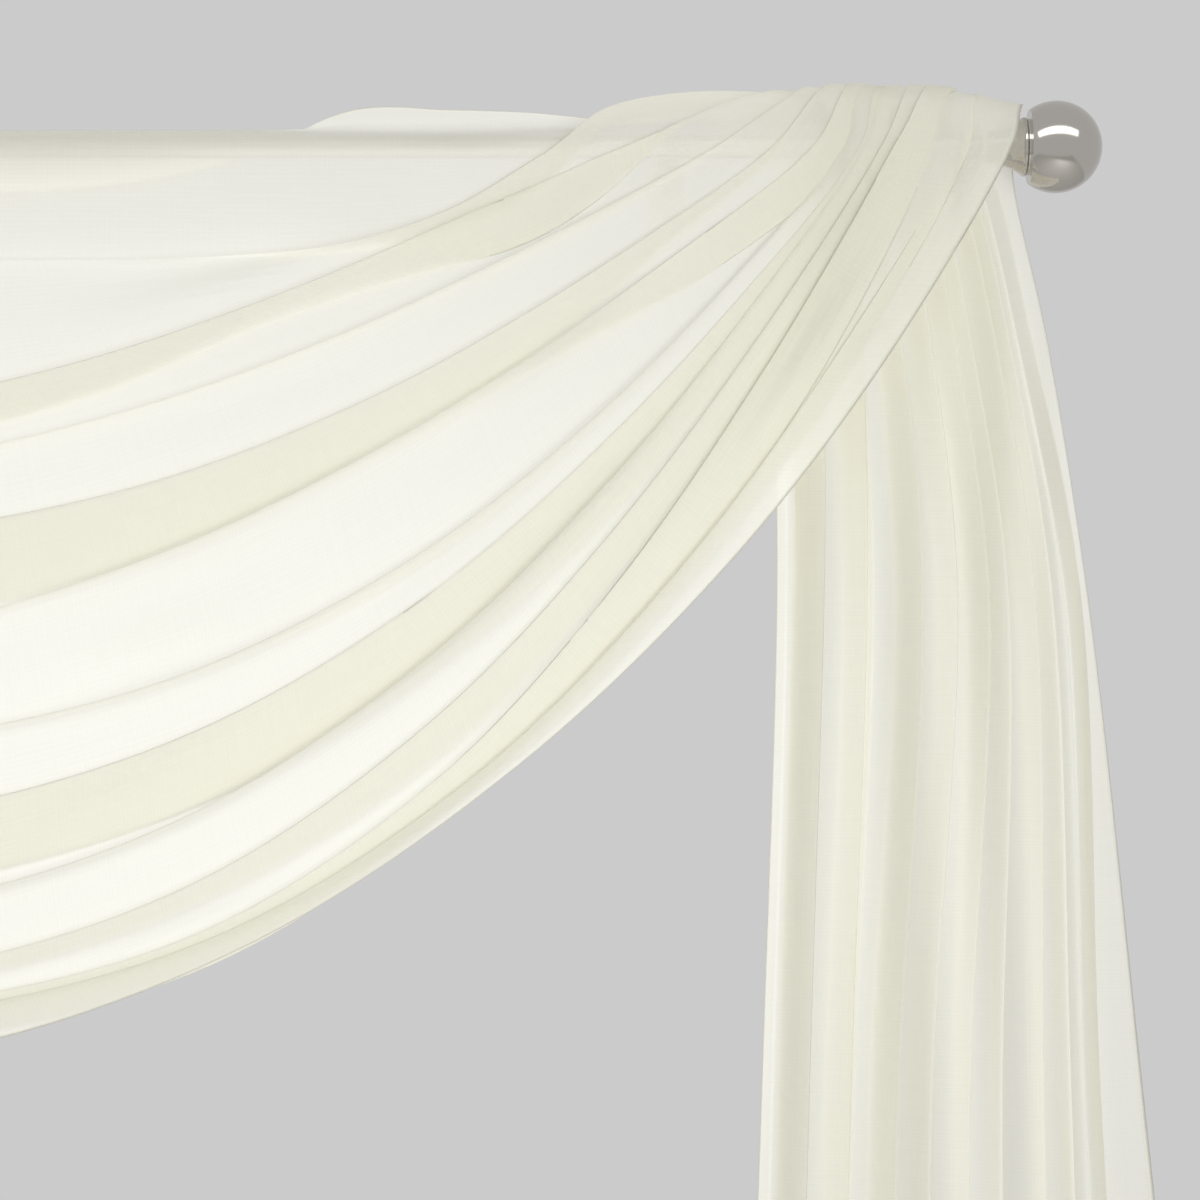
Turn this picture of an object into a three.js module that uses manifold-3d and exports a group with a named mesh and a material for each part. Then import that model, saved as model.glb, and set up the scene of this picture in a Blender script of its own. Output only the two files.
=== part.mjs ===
// A voile scarf valance: one long sheer scarf draped as a swag over a thin rod,
// with a tail falling behind the rod at each end, a round metal finial on each
// end of the rod, and two small wall brackets that carry it.
// Millimetres. X runs right along the rod, Y runs back towards the wall, Z is up.
// The origin is on the wall plane, level with the rod, midway between the ends.

import * as THREE from 'three';
import Module from 'manifold-3d';
import { mergeVertices } from 'three/addons/utils/BufferGeometryUtils.js';

// Rod, finials and brackets
const ROD_RADIUS = 8;
const ROD_TO_WALL = 90;
const ROD_Y = -ROD_TO_WALL;
const ROD_HALF_LENGTH = 887;
const BALL_RADIUS = 31.75;
const BALL_CENTRE_X = 922;
const GROOVE_X = 901.5;
const GROOVE_RADIUS = 19.3;
const GROOVE_WIDTH = 1.8;
const COLLAR_INNER_X = 874;
const COLLAR_WAIST_X = 890;
const COLLAR_MOUTH_RADIUS = 10.8;
const COLLAR_WAIST_RADIUS = 14.6;
const COLLAR_RIM_RADIUS = 20.4;
const COLLAR_RIM_WIDTH = 4;
const COLLAR_RIM_ROUND = 1.5;
const COLLAR_FLARE = 1;
const FIT_GAP = 0.3;
const BRACKET_X = 655;
const PLATE_WIDTH = 26;
const PLATE_HEIGHT = 64;
const PLATE_THICK = 4;
const PLATE_CENTRE_Z = -20;
const ARM_WIDTH = 14;
const ARM_TOP_Z = -4;
const ARM_DEEP = 9;
const CRADLE_WALL = 3;
const CRADLE_FRONT_ANGLE = 305;
const CRADLE_BACK_ANGLE = 172;
const CRADLE_FOOT_ANGLE = 245;
const CRADLE_ARCS = 10;
const BALL_ARCS = 14;
const FINIAL_SEGMENTS = 32;
const ROD_SEGMENTS = 40;

// The scarf as it was cut
const CLOTH_LENGTH = 5486;
const CLOTH_THICK = 1;

// Each fold of the scarf is one line that runs from the middle of the swag, up
// over the rod and down the tail. Across the scarf the cloth goes down behind
// the fold, turns, and comes up in front of it to the fold's upper edge.
//   cloth     cloth between the edge before it and its own edge
//   drop      how far the edge hangs below the rod at the middle of the swag
//   bow       how sharply the line turns up towards the rod
//   heave     extra sag of the line in its steep stretch
//   out       how far the edge stands in front of the rod at the middle
//   front     how far it stands in front of the rod where it comes up to it
//   rise      where along the rod it comes up to it
//   shoulder  where it leans over the front of the rod
//   over      where it crosses the top of the rod
//   lift      how high it rides over the rod there
//   throat, tail, low, hem   where it hangs in the tail, from the rod down
const FOLDS = [
  { name: 'flap', cloth: 86, drop: 80, bow: 7, heave: 0, out: 14, front: 17, rise: 556,
    shoulder: 592, over: 704, lift: 37, throat: 741, tail: 745, low: 735, hem: 714 },
  { name: 'first', cloth: 112, drop: 187, bow: 1.75, heave: 0, out: 17, front: 22, rise: 605,
    shoulder: 686, over: 724, lift: 40, throat: 754, tail: 770, low: 758, hem: 738 },
  { name: 'second', cloth: 66, drop: 228, bow: 1.82, heave: 0, out: 20, front: 24, rise: 682,
    shoulder: 727, over: 742, lift: 43, throat: 766, tail: 788, low: 774, hem: 760 },
  { name: 'third', cloth: 66, drop: 268, bow: 2.2, heave: 0, out: 23, front: 26, rise: 717,
    shoulder: 742, over: 757, lift: 45.5, throat: 778, tail: 805, low: 788, hem: 782 },
  { name: 'fourth', cloth: 102, drop: 345, bow: 1.87, heave: 0, out: 28, front: 29, rise: 747,
    shoulder: 765, over: 774, lift: 46, throat: 792, tail: 833, low: 815, hem: 812 },
  { name: 'fifth', cloth: 98, drop: 412, bow: 2.4, heave: 0, out: 32, front: 30, rise: 776,
    shoulder: 782, over: 788, lift: 44.5, throat: 808, tail: 853, low: 846, hem: 850 },
  { name: 'sixth', cloth: 82, drop: 462, bow: 2.3, heave: 0, out: 35, front: 31, rise: 784,
    shoulder: 790, over: 797, lift: 44, throat: 822, tail: 874, low: 875, hem: 890 },
  { name: 'seventh', cloth: 84, drop: 528, bow: 2.3, heave: 0, out: 38, front: 32, rise: 788,
    shoulder: 797, over: 805, lift: 44, throat: 835, tail: 890, low: 902, hem: 928 },
  { name: 'eighth', cloth: 72, drop: 570, bow: 2.45, heave: 0, out: 40, front: 33, rise: 791,
    shoulder: 803, over: 811, lift: 44.5, throat: 848, tail: 910, low: 926, hem: 964 },
  { name: 'long', cloth: 50, drop: 590, bow: 2.8, heave: 0, out: 42, front: 36, rise: 794,
    shoulder: 808, over: 818, lift: 45, throat: 862, tail: 932, low: 946, hem: 1000 },
  { name: 'panel', cloth: 44, drop: 598, bow: 2.6, heave: 6, out: 43, front: 33, rise: 848,
    shoulder: 853, over: 858, lift: 38, throat: 880, tail: 943, low: 968, hem: 1044 },
];
const LOWER_EDGE = {
  name: 'edge', cloth: 43, drop: 632, bow: 2.25, heave: 20, out: 44, front: 27, rise: 890,
  shoulder: 895, over: 899, lift: 29, throat: 896, tail: 951, low: 990, hem: 1084,
};

// Stations along the scarf, from the middle of the swag to the hem of one tail.
// In the swag, reach is the share of the way to the rod. turn is the angle gone
// round the rod, and depth is how deep the folds are there. In the tail, level
// is the height. steps is the number of strips up to the next station.
const STATIONS = [
  { at: 'swag', reach: 0, turn: 0, depth: 9, steps: 2 },
  { at: 'swag', reach: 0.2, turn: 0, depth: 9, steps: 2 },
  { at: 'swag', reach: 0.42, turn: 0, depth: 10, steps: 2 },
  { at: 'swag', reach: 0.62, turn: 0, depth: 10, steps: 2 },
  { at: 'swag', reach: 0.78, turn: 0, depth: 11, steps: 2 },
  { at: 'swag', reach: 0.9, turn: 4, depth: 11, steps: 2 },
  { at: 'rise', turn: 10, depth: 7, steps: 2 },
  { at: 'shoulder', turn: 48, depth: 12, steps: 2 },
  { at: 'over', turn: 90, depth: 17, steps: 1 },
  { at: 'nape', turn: 138, depth: 19, steps: 1 },
  { at: 'throat', turn: 176, depth: 20, level: -15, steps: 2 },
  { at: 'neck', turn: 180, depth: 30, level: -130, steps: 2 },
  { at: 'tail', turn: 180, depth: 40, level: -310, steps: 2 },
  { at: 'low', turn: 180, depth: 42, level: -660, steps: 1 },
  { at: 'fall', turn: 180, depth: 42, level: -1100, steps: 2 },
  { at: 'hem', turn: 180, depth: 42, steps: 0 },
];
const SHOULDER_STATION = STATIONS.findIndex((station) => station.at === 'shoulder');
const TAIL_CLEAR = 14;
// Shares of a fold's height over the rod, and of its distance from it, where
// it leans over the front and where it starts down behind
const SHOULDER_RISE = 0.72;
const SHOULDER_FORWARD = 0.75;
const NAPE_RISE = 0.6;
const NAPE_BACK = 0.8;
// Where the neck and the fall stand between the tail's named columns
const NECK_SHARE = 0.45;
const FALL_SHARE = 0.5;
// A fold is no deeper than these shares of its cloth and of its slack. Folds
// shallower than FLAT_DEPTH flatten out, and their cloth laps by FLAT_TUCK.
const MOST_DEPTH_SHARE = 0.42;
const MOST_SLACK_SHARE = 0.45;
const FLAT_DEPTH = 5;
const FLAT_TUCK = 0.3;
// A level for the hem before its cloth is measured
const ROUGH_HEM_LEVEL = -1600;

// The top of the scarf is turned over the rod. These four lines run along it:
// the selvage behind the rod, then the cloth at its back, top and front.
//   behind, up             place round the rod at the middle of the swag
//   flapBehind, flapUp     place where the selvage rises beside the gather
//   tail, low, hem, back   place in the tail: x, and distance behind the rod
//   ends                   x, distance behind the rod and height at the gather
const TURNOVER = [
  {
    name: 'selvage', behind: 12.4, up: -30, flapBehind: 8, flapUp: 27,
    tail: 731, low: 720, hem: 690, back: 6,
    ends: {
      rise: [560, 8, 25], shoulder: [606, 10, 21], over: [682, 12.5, 18], nape: [704, 14, 5],
      throat: [728, 19],
    },
  },
  {
    name: 'back', behind: 12.4, up: -2, flapBehind: 7, flapUp: 17,
    tail: 734, low: 724, hem: 698, back: 16,
    ends: {
      rise: [560, 5, 18.5], shoulder: [604, 7, 17.5], over: [690, 9, 17], nape: [708, 14, 8],
      throat: [731, 18],
    },
  },
  {
    name: 'top', behind: 0, up: 12.2, flapBehind: 0, flapUp: 12.2,
    tail: 737, low: 727, hem: 704, back: 24,
    ends: {
      rise: [562, -1, 13], shoulder: [604, -1, 14.5], over: [694, 4, 16], nape: [711, 14, 9],
      throat: [734, 17],
    },
  },
  {
    name: 'front', behind: -12.4, up: -2, flapBehind: -12.4, flapUp: -2,
    tail: 740, low: 730, hem: 709, back: 30,
    ends: {
      rise: [566, -14, 4], shoulder: [604, -13, 9], over: [698, -1, 16], nape: [714, 13, 10],
      throat: [737, 16],
    },
  },
];
const FLAP_FROM = 290;
const FLAP_LENGTH = 150;
const TURNOVER_REACH = 560;

// The left half is the right half mirrored, with its folds a little elsewhere.
const LEFT_SHIFT = { over: 7, tail: 9, bow: 0.06 };
const LEFT_PHASE = { over: 0.7, tail: 2.2, bow: 1.4 };
const LEFT_PACE = 2.1;

const SUBDIVISIONS = { fold: 2, face: 1, under: 1, top: 2 };

const IVORY = 0xebe9dc;
const NICKEL = 0xb9b4ad;
const STEEL = 0xc9c8c4;

const voile = new THREE.MeshStandardMaterial({ color: IVORY, roughness: 0.9, side: THREE.DoubleSide });
const polishedNickel = new THREE.MeshStandardMaterial({ color: NICKEL, roughness: 0.15, metalness: 1 });
const satinNickel = new THREE.MeshStandardMaterial({ color: STEEL, roughness: 0.35, metalness: 1 });

const smooth = (t) => {
  const c = Math.min(Math.max(t, 0), 1);
  return c * c * (3 - 2 * c);
};
const mix = (a, b, t) => a + (b - a) * t;
const radians = THREE.MathUtils.degToRad;

// Height of a fold's line in the swag, at a share of the way to the rod
function swagHeight(fold, reach) {
  const sag = fold.heave * Math.sin(Math.PI * reach ** 4);
  return -fold.drop * (1 - reach ** fold.bow) - sag;
}

// A share of the way from one column of the tail to the next, by level
function tailX(line, station) {
  if (station.at === 'neck') return mix(line.throat, line.tail, NECK_SHARE);
  if (station.at === 'fall') return mix(line.low, line.hem, FALL_SHARE);
  return line[station.at];
}

// The upper edge of one fold at one station. Its depth there sets how far
// behind the rod it hangs in the tail.
function edgePoint(fold, station, depth, hemLevel) {
  const front = ROD_Y - fold.front;
  switch (station.at) {
    case 'swag': {
      const y = mix(ROD_Y - fold.out, front, smooth(station.reach));
      return new THREE.Vector3(fold.rise * station.reach, y, swagHeight(fold, station.reach));
    }
    case 'rise':
      return new THREE.Vector3(fold.rise, front, 0);
    case 'shoulder':
      return new THREE.Vector3(
        fold.shoulder,
        ROD_Y - SHOULDER_FORWARD * fold.front,
        fold.lift * SHOULDER_RISE
      );
    case 'over':
      return new THREE.Vector3(fold.over, ROD_Y, fold.lift);
    case 'nape': {
      const y = ROD_Y + NAPE_BACK * (TAIL_CLEAR + depth);
      return new THREE.Vector3(mix(fold.over, fold.throat, 0.5), y, fold.lift * NAPE_RISE);
    }
    default: {
      const level = station.at === 'hem' ? hemLevel : station.level;
      return new THREE.Vector3(tailX(fold, station), ROD_Y + TAIL_CLEAR + depth, level);
    }
  }
}

// One of the four lines of the cloth turned over the rod
function turnoverPoint(line, station, hemLevel) {
  if (station.at === 'swag') {
    const x = TURNOVER_REACH * station.reach;
    const flap = smooth((x - FLAP_FROM) / FLAP_LENGTH);
    const behind = mix(line.behind, line.flapBehind, flap);
    return new THREE.Vector3(x, ROD_Y + behind, mix(line.up, line.flapUp, flap));
  }
  const end = line.ends[station.at];
  if (end) {
    const [x, behind, up = station.level] = end;
    return new THREE.Vector3(x, ROD_Y + behind, up);
  }
  const placed = { ...line, throat: line.ends.throat[0] };
  const level = station.at === 'hem' ? hemLevel : station.level;
  return new THREE.Vector3(tailX(placed, station), ROD_Y + TAIL_CLEAR + line.back, level);
}

// How far a fold's hidden turn lies past its edge, so that the cloth between
// two edges keeps its length: down the face behind, and back up in front.
function tuckLength(cloth, spacing, depth) {
  const slack = cloth * cloth - spacing * spacing;
  const root = 1 - (4 * depth * depth) / slack;
  return (cloth * Math.sqrt(Math.max(root, 0)) - spacing) / 2;
}

// The way across the scarf at one station of a line: square to the line in the
// swag, and along the rod from where the cloth leans over it.
function acrossDirection(points, j, inward) {
  if (j >= SHOULDER_STATION) return new THREE.Vector3(1, 0, 0);
  const along = points[j + 1].clone().sub(points[Math.max(j - 1, 0)]);
  if (j === 0) along.set(1, 0, 0);
  return inward.clone().cross(along).normalize();
}

// The lines of the scarf for one half, each a list of points by station.
// Beside each fold's edge come its hidden turn, before it, and the middle of
// its face, after it.
function halfLines(folds, lowerEdge, hemLevels) {
  const level = (index) => hemLevels[index] ?? ROUGH_HEM_LEVEL;
  const edges = [...folds, lowerEdge];
  const lines = TURNOVER.map((line) =>
    STATIONS.map((station) => turnoverPoint(line, station, level(0)))
  );
  const rough = edges.map((fold, k) =>
    STATIONS.map((station) => {
      const depth = Math.min(station.depth, MOST_DEPTH_SHARE * fold.cloth);
      return edgePoint(fold, station, depth, level(k + 1));
    })
  );
  const turns = folds.map((fold, k) => {
    const before = k === 0 ? lines[TURNOVER.length - 1] : rough[k - 1];
    return STATIONS.map((station, j) => {
      const here = rough[k][j];
      const angle = radians(station.turn);
      const inward = new THREE.Vector3(0, Math.cos(angle), -Math.sin(angle));
      const across = acrossDirection(rough[k], j, inward);
      const spacing = here.clone().sub(before[j]).dot(across);
      const slack = Math.max(fold.cloth ** 2 - spacing ** 2, 1);
      const deepest = Math.min(MOST_DEPTH_SHARE * fold.cloth, MOST_SLACK_SHARE * Math.sqrt(slack));
      const depth = Math.min(station.depth, deepest);
      const flat = smooth(1 - depth / FLAT_DEPTH);
      const tuck = mix(tuckLength(fold.cloth, spacing, depth), -FLAT_TUCK * spacing, flat);
      return here.clone().addScaledVector(across, tuck).addScaledVector(inward, depth);
    });
  });
  folds.forEach((fold, k) => {
    const next = k + 1 < folds.length ? turns[k + 1] : rough[k + 1];
    lines.push(turns[k]);
    lines.push(rough[k]);
    lines.push(rough[k].map((point, j) => point.clone().lerp(next[j], 0.5)));
  });
  lines.push(rough[folds.length]);
  return lines;
}

function curveLength(points) {
  return new THREE.CatmullRomCurve3(points, false, 'centripetal').getLength();
}

// The scarf is one length of cloth, so a line with a shorter way over the rod
// hangs lower at the hem.
function settledLines(folds, lowerEdge) {
  const first = halfLines(folds, lowerEdge, []);
  const levelFor = (points) => {
    const used = curveLength(points.slice(0, -1));
    return STATIONS[STATIONS.length - 2].level - (CLOTH_LENGTH / 2 - used);
  };
  const edges = folds.map((_, k) => first[TURNOVER.length + 1 + 3 * k]);
  const levels = [first[0], ...edges, first.at(-1)].map(levelFor);
  return halfLines(folds, lowerEdge, levels);
}

function leftFold(fold, k) {
  const sway = (column) => LEFT_SHIFT[column] * Math.sin(LEFT_PACE * k + LEFT_PHASE[column]);
  const over = sway('over');
  const tail = sway('tail');
  return {
    ...fold,
    bow: fold.bow + sway('bow'),
    rise: fold.rise + over,
    shoulder: fold.shoulder + over,
    over: fold.over + over,
    tail: fold.tail + tail,
    low: fold.low + tail,
    hem: fold.hem + tail,
  };
}

// Points along each line of the whole scarf, from the left hem to the right
function wholeLines() {
  const right = settledLines(FOLDS, LOWER_EDGE);
  const left = settledLines(FOLDS.map(leftFold), LOWER_EDGE);
  const steps = STATIONS.map((station) => station.steps);
  const last = STATIONS.length - 1;
  const sample = (curve) => {
    const points = [];
    for (let j = 0; j < last; j += 1) {
      for (let s = 0; s < steps[j]; s += 1) {
        points.push(curve.getPoint((last + j + s / steps[j]) / (2 * last)));
      }
    }
    points.push(curve.getPoint(1));
    return points;
  };
  return right.map((points, i) => {
    const mirrored = left[i].map((p) => new THREE.Vector3(-p.x, p.y, p.z));
    const whole = [...mirrored.slice(1).reverse(), ...points];
    const back = new THREE.CatmullRomCurve3([...whole].reverse(), false, 'centripetal');
    const forth = new THREE.CatmullRomCurve3(whole, false, 'centripetal');
    return [...sample(back).slice(1).reverse(), ...sample(forth)];
  });
}

// The cloth's own surface: a grid of points, each row one station, by a smooth
// curve across the lines.
function clothGrid() {
  const lines = wholeLines();
  const shares = lines.slice(1).map((_, i) => {
    if (i < TURNOVER.length - 1) return SUBDIVISIONS.top;
    const kind = (i - TURNOVER.length + 1) % 3;
    return [SUBDIVISIONS.under, SUBDIVISIONS.fold, SUBDIVISIONS.face][kind];
  });
  const spans = lines.length - 1;
  return lines[0].map((_, j) => {
    const curve = new THREE.CatmullRomCurve3(lines.map((line) => line[j]), false, 'centripetal');
    const row = [];
    shares.forEach((count, i) => {
      for (let s = 0; s < count; s += 1) row.push(curve.getPoint((i + s / count) / spans));
    });
    row.push(curve.getPoint(1));
    return row;
  });
}

// The way on through a point, from unit steps, so that a long face does not
// outweigh a short one beside it. Each step is first laid square to a direction
// if one is given, which keeps it true at a sharp fold.
function wayThrough(before, here, after, squareTo) {
  const step = (from, to) => {
    const way = to.clone().sub(from);
    return (squareTo ? way.projectOnPlane(squareTo) : way).normalize();
  };
  return step(before, here).add(step(here, after)).normalize();
}

function gridNormals(grid) {
  return grid.map((row, j) =>
    row.map((here, i) => {
      const before = grid[Math.max(j - 1, 0)][i];
      const after = grid[Math.min(j + 1, grid.length - 1)][i];
      const above = row[Math.max(i - 1, 0)];
      const below = row[Math.min(i + 1, row.length - 1)];
      const along = wayThrough(before, here, after);
      return along.clone().cross(wayThrough(above, here, below, along)).normalize();
    })
  );
}

// The sheet as one closed solid of even thickness
function sheetSolid(grid, thickness) {
  const normals = gridNormals(grid);
  const rows = grid.length;
  const columns = grid[0].length;
  const positions = [];
  for (const side of [0.5, -0.5]) {
    grid.forEach((row, j) =>
      row.forEach((point, i) => {
        const p = point.clone().addScaledVector(normals[j][i], side * thickness);
        positions.push(p.x, p.y, p.z);
      })
    );
  }
  const front = (j, i) => j * columns + i;
  const back = (j, i) => rows * columns + j * columns + i;
  const faces = [];
  const quad = (a, b, c, d) => faces.push(a, b, c, a, c, d);
  for (let j = 0; j < rows - 1; j += 1) {
    for (let i = 0; i < columns - 1; i += 1) {
      quad(front(j, i), front(j + 1, i), front(j + 1, i + 1), front(j, i + 1));
      quad(back(j, i), back(j, i + 1), back(j + 1, i + 1), back(j + 1, i));
    }
  }
  for (let j = 0; j < rows - 1; j += 1) {
    quad(front(j, 0), back(j, 0), back(j + 1, 0), front(j + 1, 0));
    const edge = columns - 1;
    quad(front(j + 1, edge), back(j + 1, edge), back(j, edge), front(j, edge));
  }
  for (let i = 0; i < columns - 1; i += 1) {
    quad(front(0, i + 1), back(0, i + 1), back(0, i), front(0, i));
    quad(front(rows - 1, i), back(rows - 1, i), back(rows - 1, i + 1), front(rows - 1, i + 1));
  }
  const geometry = new THREE.BufferGeometry();
  geometry.setAttribute('position', new THREE.Float32BufferAttribute(positions, 3));
  geometry.setIndex(faces);
  geometry.computeVertexNormals();
  return geometry;
}

// A shape turned round the rod's line. The profile is [x, radius] from the
// inner end to the outer end, and side is 1 on the right, -1 on the left.
function turned(profile, side) {
  const points = profile.map(([x, radius]) => new THREE.Vector2(radius, x));
  const geometry = new THREE.LatheGeometry(points, FINIAL_SEGMENTS);
  geometry.rotateZ(-Math.PI / 2);
  if (side < 0) geometry.rotateY(Math.PI);
  return geometry;
}

function ballProfile() {
  const start = GROOVE_X + GROOVE_WIDTH;
  const first = Math.acos((start - BALL_CENTRE_X) / BALL_RADIUS);
  const arc = Array.from({ length: BALL_ARCS + 1 }, (_, i) => {
    const angle = first * (1 - i / BALL_ARCS);
    const radius = i === BALL_ARCS ? 0 : BALL_RADIUS * Math.sin(angle);
    return [BALL_CENTRE_X + BALL_RADIUS * Math.cos(angle), radius];
  });
  return [[GROOVE_X, 0], [GROOVE_X, GROOVE_RADIUS], [start, GROOVE_RADIUS], ...arc];
}

function collarProfile() {
  const outer = GROOVE_X - FIT_GAP;
  const bore = ROD_RADIUS + FIT_GAP;
  const boreEnd = ROD_HALF_LENGTH + FIT_GAP;
  return [
    [boreEnd, 0],
    [boreEnd, bore],
    [COLLAR_INNER_X, bore],
    [COLLAR_INNER_X, COLLAR_MOUTH_RADIUS],
    [mix(COLLAR_INNER_X, COLLAR_WAIST_X, 0.5), COLLAR_MOUTH_RADIUS + COLLAR_FLARE],
    [COLLAR_WAIST_X, COLLAR_WAIST_RADIUS],
    [outer - COLLAR_RIM_WIDTH, COLLAR_RIM_RADIUS - COLLAR_RIM_ROUND],
    [outer - COLLAR_RIM_ROUND, COLLAR_RIM_RADIUS],
    [outer, COLLAR_RIM_RADIUS - COLLAR_RIM_ROUND / 2],
    [outer, 0],
  ];
}

const wasm = await Module();
wasm.setup();

function toSolid(geometry) {
  const plain = geometry.clone();
  for (const name of ['normal', 'uv']) plain.deleteAttribute(name);
  const merged = mergeVertices(plain, 1e-4);
  const mesh = new wasm.Mesh({
    numProp: 3,
    vertProperties: new Float32Array(merged.attributes.position.array),
    triVerts: new Uint32Array(merged.index.array),
  });
  return new wasm.Manifold(mesh);
}

function toGeometry(solid) {
  const mesh = solid.getMesh();
  const geometry = new THREE.BufferGeometry();
  geometry.setAttribute('position', new THREE.BufferAttribute(mesh.vertProperties, 3));
  geometry.setIndex(new THREE.BufferAttribute(mesh.triVerts, 1));
  geometry.computeVertexNormals();
  return geometry;
}

// A wall bracket: a flat plate, an arm out to the rod, and a cradle that holds
// the rod from below
function bracketGeometry(side) {
  const cradleInner = ROD_RADIUS + FIT_GAP;
  const cradleOuter = cradleInner + CRADLE_WALL;
  const onCircle = (radius, degrees) => {
    const angle = radians(degrees);
    return [ROD_Y - radius * Math.cos(angle), radius * Math.sin(angle)];
  };
  const armBottom = ARM_TOP_Z - ARM_DEEP;
  const outline = new THREE.Shape();
  const sweep = (radius, from, to) => {
    for (let i = 0; i <= CRADLE_ARCS; i += 1) {
      outline.lineTo(...onCircle(radius, mix(from, to, i / CRADLE_ARCS)));
    }
  };
  outline.moveTo(-PLATE_THICK / 2, armBottom);
  outline.lineTo(-PLATE_THICK / 2, ARM_TOP_Z);
  outline.lineTo(ROD_Y + cradleOuter, ARM_TOP_Z);
  sweep(cradleInner, CRADLE_BACK_ANGLE, CRADLE_FRONT_ANGLE);
  sweep(cradleOuter, CRADLE_FRONT_ANGLE, CRADLE_FOOT_ANGLE);
  outline.lineTo(ROD_Y + cradleOuter, armBottom);
  outline.closePath();
  const arm = new THREE.ExtrudeGeometry(outline, { depth: ARM_WIDTH, bevelEnabled: false });
  // the outline is drawn in Y and Z, and is turned to stand across X
  arm.applyMatrix4(new THREE.Matrix4().makeBasis(
    new THREE.Vector3(0, 1, 0), new THREE.Vector3(0, 0, 1), new THREE.Vector3(1, 0, 0)
  ));
  arm.translate(side * BRACKET_X - ARM_WIDTH / 2, 0, 0);
  const plate = new THREE.BoxGeometry(PLATE_WIDTH, PLATE_THICK, PLATE_HEIGHT);
  plate.translate(side * BRACKET_X, -PLATE_THICK / 2, PLATE_CENTRE_Z);
  return toGeometry(toSolid(arm).add(toSolid(plate)));
}

const group = new THREE.Group();
group.name = 'voile_scarf_valance';

function addPiece(name, geometry, material, position = [0, 0, 0]) {
  const mesh = new THREE.Mesh(geometry, material);
  mesh.name = name;
  mesh.position.set(...position);
  group.add(mesh);
}

const rod = new THREE.CylinderGeometry(ROD_RADIUS, ROD_RADIUS, 2 * ROD_HALF_LENGTH, ROD_SEGMENTS);
rod.rotateZ(Math.PI / 2);
addPiece('rod', rod, satinNickel, [0, ROD_Y, 0]);
addPiece('scarf', sheetSolid(clothGrid(), CLOTH_THICK), voile);

const SIDES = [[1, 'right'], [-1, 'left']];
for (const [side, where] of SIDES) {
  addPiece(`finial_collar_${where}`, turned(collarProfile(), side), polishedNickel, [0, ROD_Y, 0]);
  addPiece(`finial_ball_${where}`, turned(ballProfile(), side), polishedNickel, [0, ROD_Y, 0]);
  addPiece(`wall_bracket_${where}`, bracketGeometry(side), satinNickel);
}

export default group;
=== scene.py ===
"""A voile scarf valance: a sheer ivory scarf swagged over a thin curtain rod.

The scarf is one fine sheet on the folds of its solid, in millimetres, on a finer
grid. It hangs flatter than the solid over the rod and in the tails, and its laps,
slow waves, small creases and hems are added. The finials are turned again,
smoother. The rod and the brackets are the solids themselves, with a new finish.
"""

import math

import bpy
import numpy as np
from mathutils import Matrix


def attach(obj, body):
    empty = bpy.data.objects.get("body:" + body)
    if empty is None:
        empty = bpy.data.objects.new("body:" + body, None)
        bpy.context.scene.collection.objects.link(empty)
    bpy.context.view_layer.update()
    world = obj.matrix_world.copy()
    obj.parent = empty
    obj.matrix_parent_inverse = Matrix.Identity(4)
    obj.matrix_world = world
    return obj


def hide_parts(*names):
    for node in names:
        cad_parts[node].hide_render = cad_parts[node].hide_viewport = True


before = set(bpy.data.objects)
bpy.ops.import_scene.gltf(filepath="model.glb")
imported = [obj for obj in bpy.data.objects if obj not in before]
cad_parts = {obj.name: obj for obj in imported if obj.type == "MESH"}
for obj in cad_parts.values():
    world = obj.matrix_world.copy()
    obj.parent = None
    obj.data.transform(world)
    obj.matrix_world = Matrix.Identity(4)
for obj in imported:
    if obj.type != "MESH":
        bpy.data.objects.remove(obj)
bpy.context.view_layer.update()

MM = 0.001

# Rod, finials and brackets
ROD_RADIUS = 8
ROD_Y = -90
ROD_HALF_LENGTH = 887
BALL_RADIUS = 31.75
BALL_CENTRE_X = 922
GROOVE_X = 901.5
GROOVE_RADIUS = 19.3
GROOVE_WIDTH = 1.8
COLLAR_INNER_X = 874
COLLAR_WAIST_X = 890
COLLAR_MOUTH_RADIUS = 10.8
COLLAR_WAIST_RADIUS = 14.6
COLLAR_RIM_RADIUS = 20.4
FIT_GAP = 0.3
LATHE_SEGMENTS = 96
SHARP_EDGE = 40
MERGE_DISTANCE = 1e-6

# A turned face is drawn in to this radius, and closed there by the lathe
HUB_RADIUS = 2
# The ball's rings up to its pole, and the angle from the pole of the last one
BALL_ARCS = 40
POLE_ANGLE = 0.002

# The neck swells from its mouth to its waist and flares out to its rim
WAIST_SHARES = (0, 0.15, 0.3, 0.45, 0.6, 0.75, 0.9, 1)
WAIST_CURVE = 1.6
FLARE_SHARES = (0.25, 0.5, 0.75, 1)
FLARE_CURVE = 1.2
RIM_DEPTH = 4
RIM_STEP = 1.5
# The rounded rim: distance in from its end, and down from its full radius
RIM_ROUNDING = ((2.4, 0.35), (1.5, 0), (0.6, 0.15), (0, 0.75))

# The scarf as it was cut
CLOTH_WIDTH = 965
CLOTH_LENGTH = 5486

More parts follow.
